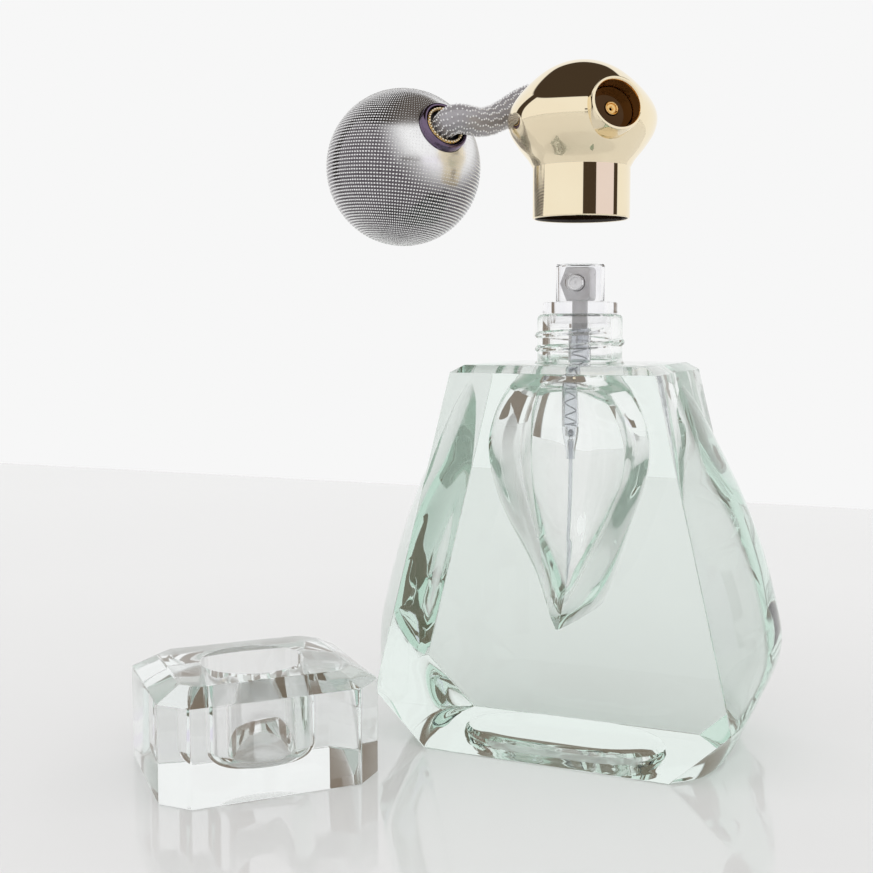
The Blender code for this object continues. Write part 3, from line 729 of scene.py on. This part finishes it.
def bar_along(name, points, radius, sides=10):
    """A round bar of wire or tube along points in millimetres, with closed ends."""
    pts = [Vector(p) for p in points]
    work = bmesh.new()
    rings = []
    reference = Vector((0.0, 0.0, 1.0))
    for i, point in enumerate(pts):
        ahead_of = pts[min(i + 1, len(pts) - 1)] - pts[max(i - 1, 0)]
        ahead_of.normalize()
        side = ahead_of.cross(reference)
        if side.length < 0.05:
            side = ahead_of.cross(Vector((1.0, 0.0, 0.0)))
        side.normalize()
        other = ahead_of.cross(side)
        rings.append([
            work.verts.new((point + side * math.cos(2 * math.pi * k / sides) * radius
                            + other * math.sin(2 * math.pi * k / sides) * radius) * MM)
            for k in range(sides)
        ])
    for one, two in zip(rings, rings[1:]):
        for k in range(sides):
            n = (k + 1) % sides
            work.faces.new((one[k], one[n], two[n], two[k]))
    work.faces.new(rings[0])
    work.faces.new(rings[-1])
    return closed_mesh(name, work)


SPRING_FOOT = 69.9
SPRING_TOP = 87.6
SPRING_RADIUS = 1.6
SPRING_WIRE = 0.17
SPRING_TURNS = 7
SPRING_STEPS = 28
SPRING_RISE = ((0.0, 0.0), (0.8, 0.03), (1.6, 0.14), (5.4, 0.86), (6.2, 0.97), (7.0, 1.0))
spring_points = []
for i in range(SPRING_TURNS * SPRING_STEPS + 1):
    wound = i / SPRING_STEPS
    a = 2 * math.pi * wound
    spring_points.append((SPRING_RADIUS * math.cos(a), SPRING_RADIUS * math.sin(a),
                          SPRING_FOOT + (SPRING_TOP - SPRING_FOOT) * smooth_between(SPRING_RISE, wound)))
spring = place_piece("spring", bar_along("spring", spring_points, SPRING_WIRE), bright_wire)
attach(spring, "bottle")
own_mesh(spring)
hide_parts("pump_spring")

dip_tube = place_piece("dip_tube_fine", spun("dip_tube_fine", (
    (0.65, 66.2), (0.65, 31.0), (0.38, 31.0), (0.38, 66.2)), 24, True), frosted_plastic)
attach(dip_tube, "bottle")
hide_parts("dip_tube")

put_finish(bpy.data.objects["pump_piston"], frosted_plastic)
put_finish(bpy.data.objects["check_ball"], bright_wire)

# ---------------------------------------------------------------------------------------------
# Button. A clear moulded cup over a pale grey core that is pressed on the pump's stem. A round
# nozzle insert is pushed into the core and faces out through a window in the cup.
stem = place_piece("stem", spun("stem", (
    (1.6, 99.0), (1.7, 98.9), (1.7, 90.0), (1.6, 89.9), (0.6, 89.9), (0.6, 99.0)), 40, True), grey_plastic)
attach(stem, "button")
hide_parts("pump_stem")

front_turn = Vector((0.0, -1.0, 0.0)).to_track_quat("Z", "Y")
window_spot = NECK + Vector((0.0, 0.0, 101.0))
button = place_piece("button", spun("button", (
    (0.0, 105.1), (4.9, 105.1), (5.15, 105.05), (5.28, 104.9), (5.3, 104.7), (5.3, 97.1), (5.22, 97.0),
    (4.8, 97.0), (4.75, 97.1), (4.75, 104.5), (4.55, 104.7), (0.0, 104.7),
), 80), clear_plastic, smooth=0.0)
carve(button, [(tool("window", rod("window", 1.95, 3.5, 6.5, 40), window_spot, front_turn), "DIFFERENCE")])
put_finish(button, clear_plastic, 35.0)
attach(button, "button")
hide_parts("actuator_shell")

CORE_OUTLINE = (
    (-2.5, 3.5), (-3.8, 0.0), (-2.4, -3.6), (2.3, -3.6), (2.9, -3.0), (2.9, 2.8), (2.5, 3.5),
)
core_rings = [[(x, z, depth) for x, z in CORE_OUTLINE] for depth in (-2.6, 2.6)]
upright = Matrix.Rotation(math.radians(90.0), 4, "X").to_quaternion()
core_mesh = loft("button_core", core_rings)
core = place_piece("button_core", core_mesh, grey_plastic, NECK + Vector((0.0, 0.0, 100.9)), upright,
                   smooth=0.0)
ease_edges(core, 0.22, 3, 30.0)
carve(core, [
    (tool("pocket", rod("pocket", 1.85, 1.0, 4.0, 48), window_spot, front_turn), "DIFFERENCE"),
    (tool("stem_hole", rod("stem_hole", 1.8, 96.0, 99.3, 40)), "DIFFERENCE"),
])
put_finish(core, grey_plastic, 40.0)
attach(core, "button")
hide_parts("actuator_core")

insert = place_piece("nozzle_insert", spun("nozzle_insert", (
    (0.0, 3.1), (0.28, 3.1), (0.3, 3.4), (1.0, 3.5), (1.2, 3.7), (1.25, 4.2), (1.35, 4.3), (1.6, 4.3),
    (1.7, 4.2), (1.7, 1.3), (0.0, 1.3),
), 48), grey_plastic, window_spot, front_turn)
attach(insert, "button")
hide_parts("actuator_nozzle")

# ---------------------------------------------------------------------------------------------
# Head. A spun shell, polished and plated in pale gold, with a round nozzle cup set in its shoulder.
# Its skirt hides the moulded block that seats on the neck and the button.
HEAD_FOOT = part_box("head_shell")[0].z / MM
HEAD_OUTLINE = (
    (33.8, 0.0), (33.6, 2.6), (33.05, 5.0), (31.2, 8.6), (28.0, 12.3), (24.5, 15.1), (21.5, 16.15),
    (18.4, 15.6), (15.3, 13.7), (12.7, 11.6), (11.0, 10.6),
)
HEAD_SKIRT = (
    (10.6, 10.85), (10.6, 10.0), (10.6, 1.0), (10.6, 0.25), (10.5, 0.05), (10.3, 0.0), (10.12, 0.08),
    (10.05, 0.3), (10.05, 1.0),
)
HEAD_INSIDE = (
    (10.05, 11.6), (11.0, 13.4), (13.0, 16.0), (14.7, 18.8), (15.2, 21.5), (14.2, 24.0), (11.5, 27.3),
    (8.0, 30.4), (4.6, 32.1), (0.0, 32.8),
)


def curve_through(points, per_span):
    """Catmull-Rom points through given ones."""
    pts = [Vector(p) for p in points]
    pts = [pts[0] * 2.0 - pts[1]] + pts + [pts[-1] * 2.0 - pts[-2]]
    out = []
    for a, b, c, d in zip(pts, pts[1:], pts[2:], pts[3:]):
        for i in range(per_span):
            t = i / per_span
            out.append(0.5 * ((2.0 * b) + (c - a) * t + (2.0 * a - 5.0 * b + 4.0 * c - d) * t * t
                              + (3.0 * b - a - 3.0 * c + d) * t ** 3))
    out.append(pts[-2])
    return out


def plated(name, colour, dark_colour, rough_low, rough_high):
    """Plated and buffed metal: faint cloudiness in gloss and tone."""
    mat, tree, shader = new_material(name)
    shader.inputs["Metallic"].default_value = 1.0
    buffed = put_effect(tree, uneven, {
        "Scale": 90.0, "Detail": 4.0, "Rough Low": rough_high, "Rough High": rough_low,
        "Color Low": (*dark_colour, 1.0), "Color High": (*colour, 1.0)})
    tree.links.new(buffed.outputs["Color"], shader.inputs["Base Color"])
    tree.links.new(buffed.outputs["Roughness"], shader.inputs["Roughness"])
    return mat


gold = plated("pale_gold_plate", (0.93, 0.82, 0.60), (0.91, 0.79, 0.57), 0.015, 0.035)
deep_gold = plated("deep_gold_plate", (0.86, 0.60, 0.27), (0.80, 0.53, 0.22), 0.06, 0.12)
dark_plate = plated("dark_plum_plate", (0.20, 0.15, 0.22), (0.14, 0.10, 0.17), 0.06, 0.14)
bronze = plated("dark_bronze_plate", (0.085, 0.045, 0.022), (0.06, 0.032, 0.015), 0.04, 0.08)
shoulder = curve_through([(r, h, 0.0) for h, r in HEAD_OUTLINE], 8)
outline = [(max(p.x, 0.0), HEAD_FOOT + p.y) for p in shoulder]
outline[0] = (0.0, HEAD_FOOT + HEAD_OUTLINE[0][0])
outline += [(r, HEAD_FOOT + h) for r, h in HEAD_SKIRT + HEAD_INSIDE]
NOZZLE_AZIMUTH = math.radians(-48.5)
NOZZLE_TILT = math.radians(13.0)
NOZZLE_HEIGHT = 133.0
nozzle_way = Vector((math.cos(NOZZLE_AZIMUTH) * math.cos(NOZZLE_TILT),
                     math.sin(NOZZLE_AZIMUTH) * math.cos(NOZZLE_TILT), math.sin(NOZZLE_TILT)))
nozzle_turn = nozzle_way.to_track_quat("Z", "Y")
nozzle_root = NECK + Vector((0.0, 0.0, NOZZLE_HEIGHT))
HOSE_ROUTE = (
    (-8.4, 7.0, 141.0), (-10.3, 7.95, 141.95), (-12.2, 8.9, 142.9), (-14.9, 9.4, 143.5),
    (-17.1, 8.0, 142.3), (-18.6, 5.6, 140.6), (-20.1, 2.9, 138.8), (-21.7, 0.0, 137.4),
    (-23.1, -3.0, 136.8), (-24.6, -5.9, 137.0), (-26.4, -7.6, 137.1), (-28.7, -7.18, 136.35),
    (-30.33, -6.17, 135.48),
)
port = NECK + Vector(HOSE_ROUTE[0])
port_turn = (Vector(HOSE_ROUTE[1]) - Vector(HOSE_ROUTE[0])).to_track_quat("Z", "Y")
head = place_piece("head", spun("head", outline, 128), gold, smooth=0.0)
carve(head, [
    (tool("cup_hole", rod("cup_hole", 5.7, 11.8, 22.0, 96), nozzle_root, nozzle_turn), "DIFFERENCE"),
    (tool("hose_hole", rod("hose_hole", 4.1, -1.2, 9.0, 64), port, port_turn), "DIFFERENCE"),
])
put_finish(head, gold, 25.0)
# The inside wall of the skirt gets a near-black finish: painted shade in the hollow under the head.
head.data.materials.append(moulded("painted_shade_inside_skirt", (0.030, 0.016, 0.008), 0.08, 0.16))
for face in head.data.polygons:
    if math.hypot(face.center.x, face.center.y) < 10.2 * MM and face.center.z < (HEAD_FOOT + 20.0) * MM:
        face.material_index = 1
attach(head, "head")
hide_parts("head_shell")

put_finish(bpy.data.objects["head_core"], moulded("dark_brown_moulding", (0.05, 0.03, 0.015), 0.3, 0.5))

cup = place_piece("nozzle_cup", spun("nozzle_cup", (
    (5.62, 17.9), (5.75, 17.83), (5.8, 17.68), (5.8, 12.2), (4.95, 12.2), (4.95, 17.3), (5.05, 17.65),
    (5.25, 17.88),
), 96, True), gold, nozzle_root, nozzle_turn)
cup.data.materials.append(deep_gold)
for face in cup.data.polygons:
    if math.hypot(face.center.x, face.center.y) < 5.1 * MM:
        face.material_index = 1
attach(cup, "head")
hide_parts("nozzle_barrel")

disc = place_piece("nozzle_disc_fine", spun("nozzle_disc_fine", (
    (4.6, 14.6), (4.8, 14.5), (4.93, 14.3), (4.93, 12.4), (1.5, 12.4), (1.5, 14.45), (1.6, 14.6),
), 72, True), bronze, nozzle_root, nozzle_turn)
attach(disc, "head")
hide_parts("nozzle_disc")

jet = place_piece("nozzle_jet_fine", spun("nozzle_jet_fine", (
    (1.28, 15.0), (1.4, 14.92), (1.45, 14.75), (1.45, 12.4), (0.25, 12.4), (0.25, 14.3), (0.5, 14.55),
    (0.95, 14.6), (1.08, 14.9),
), 48, True), deep_gold, nozzle_root, nozzle_turn)
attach(jet, "head")
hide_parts("nozzle_jet")

ferrule = place_piece("hose_ferrule_fine", spun("hose_ferrule_fine", (
    (3.95, 3.6), (4.12, 3.5), (4.2, 3.3), (4.2, -0.6), (3.5, -0.6), (3.5, 3.3), (3.6, 3.55),
), 64, True), gold, port, port_turn)
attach(ferrule, "head")
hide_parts("hose_ferrule")

# ---------------------------------------------------------------------------------------------
# Hose. A soft air tube in a sleeve of silver yarn, with rows of bright knots along it: short enough
# to stand by itself between the head and the bulb.
HOSE_RADIUS = 3.3
HOSE_ROWS = 14
HOSE_KNOTS = 60
HOSE_KNOT = (0.25, 0.22, 0.26)
HOSE_SKIN_UNDER = 0.28
HOSE_DRAWN_FROM = 0.86
HOSE_DRAWN_IN = 0.35


def hose_frames(points):
    """Points with two cross directions that turn as little as they can along the route."""
    pts = [Vector(p) for p in points]
    out = []
    side = None
    for i, point in enumerate(pts):
        ahead_of = (pts[min(i + 1, len(pts) - 1)] - pts[max(i - 1, 0)]).normalized()
        if side is None:
            side = ahead_of.orthogonal().normalized()
        side = (side - ahead_of * side.dot(ahead_of)).normalized()
        out.append((point, side, ahead_of.cross(side)))
    return out


def add_knot(verts, faces, crest_and_painted_light, base, out, across, wide, long, tall):
    """One raised knot of yarn: a low six-sided dome."""
    forward = out.cross(across)
    first = len(verts)
    # The knot's colour weight rises from 0.55 at its foot to 1 on its top: painted shade round the foot of
    # the knot.
    for grow, rise, bright in ((1.0, -0.03, 0.55), (0.82, 0.6 * tall, 0.85), (0.45, 0.95 * tall, 1.0)):
        for c in range(6):
            b = math.pi * c / 3.0
            verts.append((base + across * math.cos(b) * wide * grow + forward * math.sin(b) * long * grow
                          + out * rise) * MM)
            crest_and_painted_light.append(bright)
    for ring in (0, 6):
        for c in range(6):
            n = (c + 1) % 6
            faces.append((first + ring + c, first + ring + n, first + ring + 6 + n, first + ring + 6 + c))
    faces.append(tuple(first + 12 + c for c in range(6)))


def woven_mesh(name, verts, faces, crest_and_painted_light):
    mesh = bpy.data.meshes.new(name)
    mesh.from_pydata([tuple(v) for v in verts], [], faces)
    attribute = mesh.attributes.new("crest_and_painted_light", "FLOAT", "POINT")
    attribute.data.foreach_set("value", np.array(crest_and_painted_light, np.float32))
    return mesh


def sleeve(name, points, sides, knots):
    """The sleeve's smooth skin, drawn in a little where it enters the ring, with rows of knots along it."""
    frames = hose_frames(points)
    last = len(frames) - 1
    verts = []
    faces = []
    crest_and_painted_light = []

    def girth(at):
        drawn = max(0.0, (at / last - HOSE_DRAWN_FROM) / (1.0 - HOSE_DRAWN_FROM))
        return HOSE_RADIUS - HOSE_SKIN_UNDER - HOSE_DRAWN_IN * drawn

    for i, (point, side, other) in enumerate(frames):
        for k in range(sides):
            a = 2.0 * math.pi * k / sides
            size = girth(i) + 0.03 * math.cos(a * HOSE_ROWS)
            verts.append((point + side * math.cos(a) * size + other * math.sin(a) * size) * MM)
            crest_and_painted_light.append(0.0)
    for i in range(last):
        for k in range(sides):
            n = (k + 1) % sides
            faces.append((i * sides + k, i * sides + n, (i + 1) * sides + n, (i + 1) * sides + k))
    for row in range(HOSE_ROWS):
        for j in range(knots):
            at = (j + 0.5) * last / knots
            i = int(at)
            t = at - i
            p0, s0, o0 = frames[i]
            p1, s1, o1 = frames[min(i + 1, last)]
            side = s0.lerp(s1, t)
            other = o0.lerp(o1, t)
            a = 2.0 * math.pi * (row + 0.18 * math.sin(at * 0.9)) / HOSE_ROWS
            out = (side * math.cos(a) + other * math.sin(a)).normalized()
            across = side * -math.sin(a) + other * math.cos(a)
            add_knot(verts, faces, crest_and_painted_light, p0.lerp(p1, t) + out * girth(at), out, across, *HOSE_KNOT)
    return woven_mesh(name, verts, faces, crest_and_painted_light)


yarn, ends_in, ends_out = effect("knotted_yarn", (
    ("Valley", "NodeSocketColor", (0.1, 0.1, 0.1, 1.0)), ("Knot", "NodeSocketColor", (1.0, 1.0, 1.0, 1.0)),
    ("Rough Valley", "NodeSocketFloat", 0.2), ("Rough Knot", "NodeSocketFloat", 0.3),
), (("Color", "NodeSocketColor"), ("Roughness", "NodeSocketFloat")))
high = yarn.nodes.new("ShaderNodeAttribute")
high.attribute_name = "crest_and_painted_light"
where = yarn.nodes.new("ShaderNodeTexCoord")
lint = yarn.nodes.new("ShaderNodeTexNoise")
lint.inputs["Scale"].default_value = 900.0
yarn.links.new(where.outputs["Object"], lint.inputs["Vector"])
lift = yarn.nodes.new("ShaderNodeMath")
lift.operation = "MULTIPLY_ADD"
lift.inputs[1].default_value = 0.12
lift.use_clamp = True
yarn.links.new(lint.outputs["Fac"], lift.inputs[0])
yarn.links.new(high.outputs["Fac"], lift.inputs[2])
ramp = yarn.nodes.new("ShaderNodeMix")
ramp.data_type = "RGBA"
yarn.links.new(lift.outputs["Value"], ramp.inputs["Factor"])
yarn.links.new(ends_in.outputs["Valley"], ramp.inputs["A"])
yarn.links.new(ends_in.outputs["Knot"], ramp.inputs["B"])
yarn.links.new(ramp.outputs["Result"], ends_out.inputs["Color"])
gloss = yarn.nodes.new("ShaderNodeMapRange")
yarn.links.new(high.outputs["Fac"], gloss.inputs["Value"])
yarn.links.new(ends_in.outputs["Rough Valley"], gloss.inputs["To Min"])
yarn.links.new(ends_in.outputs["Rough Knot"], gloss.inputs["To Max"])
yarn.links.new(gloss.outputs["Result"], ends_out.inputs["Roughness"])


def silver_weave(name, valley, knot, rough_valley, rough_knot, metallic):
    """Metallised yarn: dark between the threads, bright on the raised knots, with painted shade round the
    knots' feet and a painted highlight round the bulb's collar, both carried by the mesh's crest attribute.
    """
    mat, tree, shader = new_material(name)
    threads = put_effect(tree, yarn, {"Valley": (*valley, 1.0), "Knot": (*knot, 1.0),
                                      "Rough Valley": rough_valley, "Rough Knot": rough_knot})
    tree.links.new(threads.outputs["Color"], shader.inputs["Base Color"])
    tree.links.new(threads.outputs["Roughness"], shader.inputs["Roughness"])
    shader.inputs["Metallic"].default_value = metallic
    return mat


hose_yarn = silver_weave("silver_hose_yarn", (0.36, 0.34, 0.36), (1.0, 1.0, 1.0), 0.35, 0.3, 0.35)
route = curve_through(HOSE_ROUTE, 8)
hose = place_piece("hose_braid", sleeve("hose_braid", route, 112, HOSE_KNOTS), hose_yarn, smooth=50.0)
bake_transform(hose)
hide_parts("braid_head_half", "braid_bulb_half")

air_tube = place_piece("air_tube", bar_along("air_tube", route, 1.6, 20), rubber)
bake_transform(air_tube)
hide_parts("air_tube_head_half", "air_tube_bulb_half")

# ---------------------------------------------------------------------------------------------
# Bulb. A rubber ball in a close net of silver yarn, worked in rows that gather at the top and the
# bottom, closed by a dark plated ring and a gold ring of fine beads where the hose leaves it.
BULB_CENTRE = NECK + Vector((-43.75, 2.1, 128.35))
BULB_AXIS = Vector((0.776, -0.478, 0.412)).normalized()
BULB_RADIUS = 18.0
bulb_turn = BULB_AXIS.to_track_quat("Z", "Y")
NET_PITCH = 0.76
NET_COLUMNS = 150
NET_CLOSEST = 0.24
NET_FILL = 0.42
NET_KNOT = (0.29, 0.24, 0.19)
HIGHLIGHT_AND_BARE_FROM = 52.0
HIGHLIGHT_AND_BARE_OVER = 24.0
NET_POLE = Vector((-0.07, -0.07, -0.99)).normalized()
net_turn = NET_POLE.to_track_quat("Z", "Y")


def net_ball(name, radius, opening):
    """A glossy ball under a net: knots in rows round its gathered end, left open round the collar, and the
    ball painted light round the collar as a painted highlight.
    """
    limit = math.sqrt(radius ** 2 - opening ** 2)
    verts = []
    faces = []
    crest_and_painted_light = []

    def highlight_and_bare(along):
        """1 round the collar, where the ball gets a painted highlight and the net is stretched thin with
        smaller knots, 0 from HIGHLIGHT_AND_BARE_FROM degrees away.
        """
        t = (HIGHLIGHT_AND_BARE_FROM - math.degrees(math.acos(max(min(along, 1.0), -1.0)))) / HIGHLIGHT_AND_BARE_OVER
        t = min(max(t, 0.0), 1.0)
        return t * t * (3.0 - 2.0 * t)

    skin = spun("skin", [(opening, limit)] + [
        (radius * math.sin(a), radius * math.cos(a))
        for a in [math.asin(opening / radius) + math.radians(2.0 * i) for i in range(1, 80)]
    ] + [(0.0, -radius)], 160)
    for vert in skin.vertices:
        verts.append(bulb_turn @ vert.co)
        # The ball is painted light round the collar: a painted highlight, not a colour of the net.
        crest_and_painted_light.append(0.85 * highlight_and_bare(vert.co.z / MM / radius))
    for face in skin.polygons:
        faces.append(tuple(face.vertices))
    bpy.data.meshes.remove(skin)
    rows = int(math.pi * radius / NET_PITCH)
    for i in range(1, rows):
        polar = math.pi * i / rows
        reach = radius * math.sin(polar)
        columns = NET_COLUMNS
        while 2.0 * math.pi * reach / columns < NET_CLOSEST and columns > 10:
            columns //= 2
        wide = min(NET_KNOT[0], NET_FILL * 2.0 * math.pi * reach / columns)
        for k in range(columns):
            a = 2.0 * math.pi * k / columns
            out = net_turn @ Vector((math.sin(polar) * math.cos(a), math.sin(polar) * math.sin(a),
                                     math.cos(polar)))
            if out.dot(BULB_AXIS) * radius > limit - 0.15:
                continue
            across = net_turn @ Vector((-math.sin(a), math.cos(a), 0.0))
            size = 1.0 - 0.6 * highlight_and_bare(out.dot(BULB_AXIS))
            add_knot(verts, faces, crest_and_painted_light, out * radius, out, across, wide * size,
                     NET_KNOT[1] * size, NET_KNOT[2] * size)
    return woven_mesh(name, verts, faces, crest_and_painted_light)


bulb_yarn = silver_weave("silver_bulb_net", (0.075, 0.06, 0.075), (1.0, 1.0, 1.0), 0.14, 0.25, 0.95)
net = place_piece("bulb_net", net_ball("bulb_net", BULB_RADIUS - 0.16, 5.9), bulb_yarn, BULB_CENTRE,
                  smooth=0.0)
net.data.shade_smooth()
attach(net, "bulb")
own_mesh(net)
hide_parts("bulb_mesh")

BLADDER_OUTER = 17.2
BLADDER_INNER = 16.0
down = [math.radians(8.0 + 4.1 * i) for i in range(41)]
bladder_wall = [(BLADDER_OUTER * math.sin(a), BLADDER_OUTER * math.cos(a)) for a in down]
bladder_wall += [(BLADDER_INNER * math.sin(a), BLADDER_INNER * math.cos(a)) for a in reversed(down)]
bladder = place_piece("bladder", spun("bladder", bladder_wall, 72, True), rubber, BULB_CENTRE, bulb_turn)
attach(bladder, "bulb")
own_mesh(bladder)
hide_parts("bulb_bladder")

dark_ring = place_piece("bulb_ring", spun("bulb_ring", (
    (5.2, 18.8), (5.5, 18.72), (5.72, 18.5), (5.8, 18.15), (5.8, 16.9), (5.7, 16.8), (4.85, 16.8),
    (4.85, 18.5), (4.95, 18.72),
), 80, True), dark_plate, BULB_CENTRE, bulb_turn)
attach(dark_ring, "bulb")
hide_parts("bulb_collar")


def beaded(name, radius, level, beads, size):
    """A ring of round beads soldered to a thin band."""
    work = bmesh.new()
    for i in range(beads):
        a = 2.0 * math.pi * i / beads
        spot = Matrix.Translation(Vector((radius * math.cos(a), radius * math.sin(a), level)) * MM)
        bmesh.ops.create_icosphere(work, subdivisions=2, radius=size * MM, matrix=spot)
    return closed_mesh(name, work)


band = place_piece("bulb_beaded_band", spun("bulb_beaded_band", (
    (4.45, 18.6), (4.55, 18.5), (4.55, 17.6), (3.85, 17.6), (3.85, 18.5), (3.95, 18.6),
), 72, True), deep_gold, BULB_CENTRE, bulb_turn)
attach(band, "bulb")
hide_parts("bulb_beaded_ring")
beads = place_piece("bulb_beads", beaded("bulb_beads", 4.2, 18.66, 34, 0.33), gold, BULB_CENTRE, bulb_turn,
                    smooth=60.0)
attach(beads, "bulb")

put_finish(bpy.data.objects["intake_valve"], dark_plate)
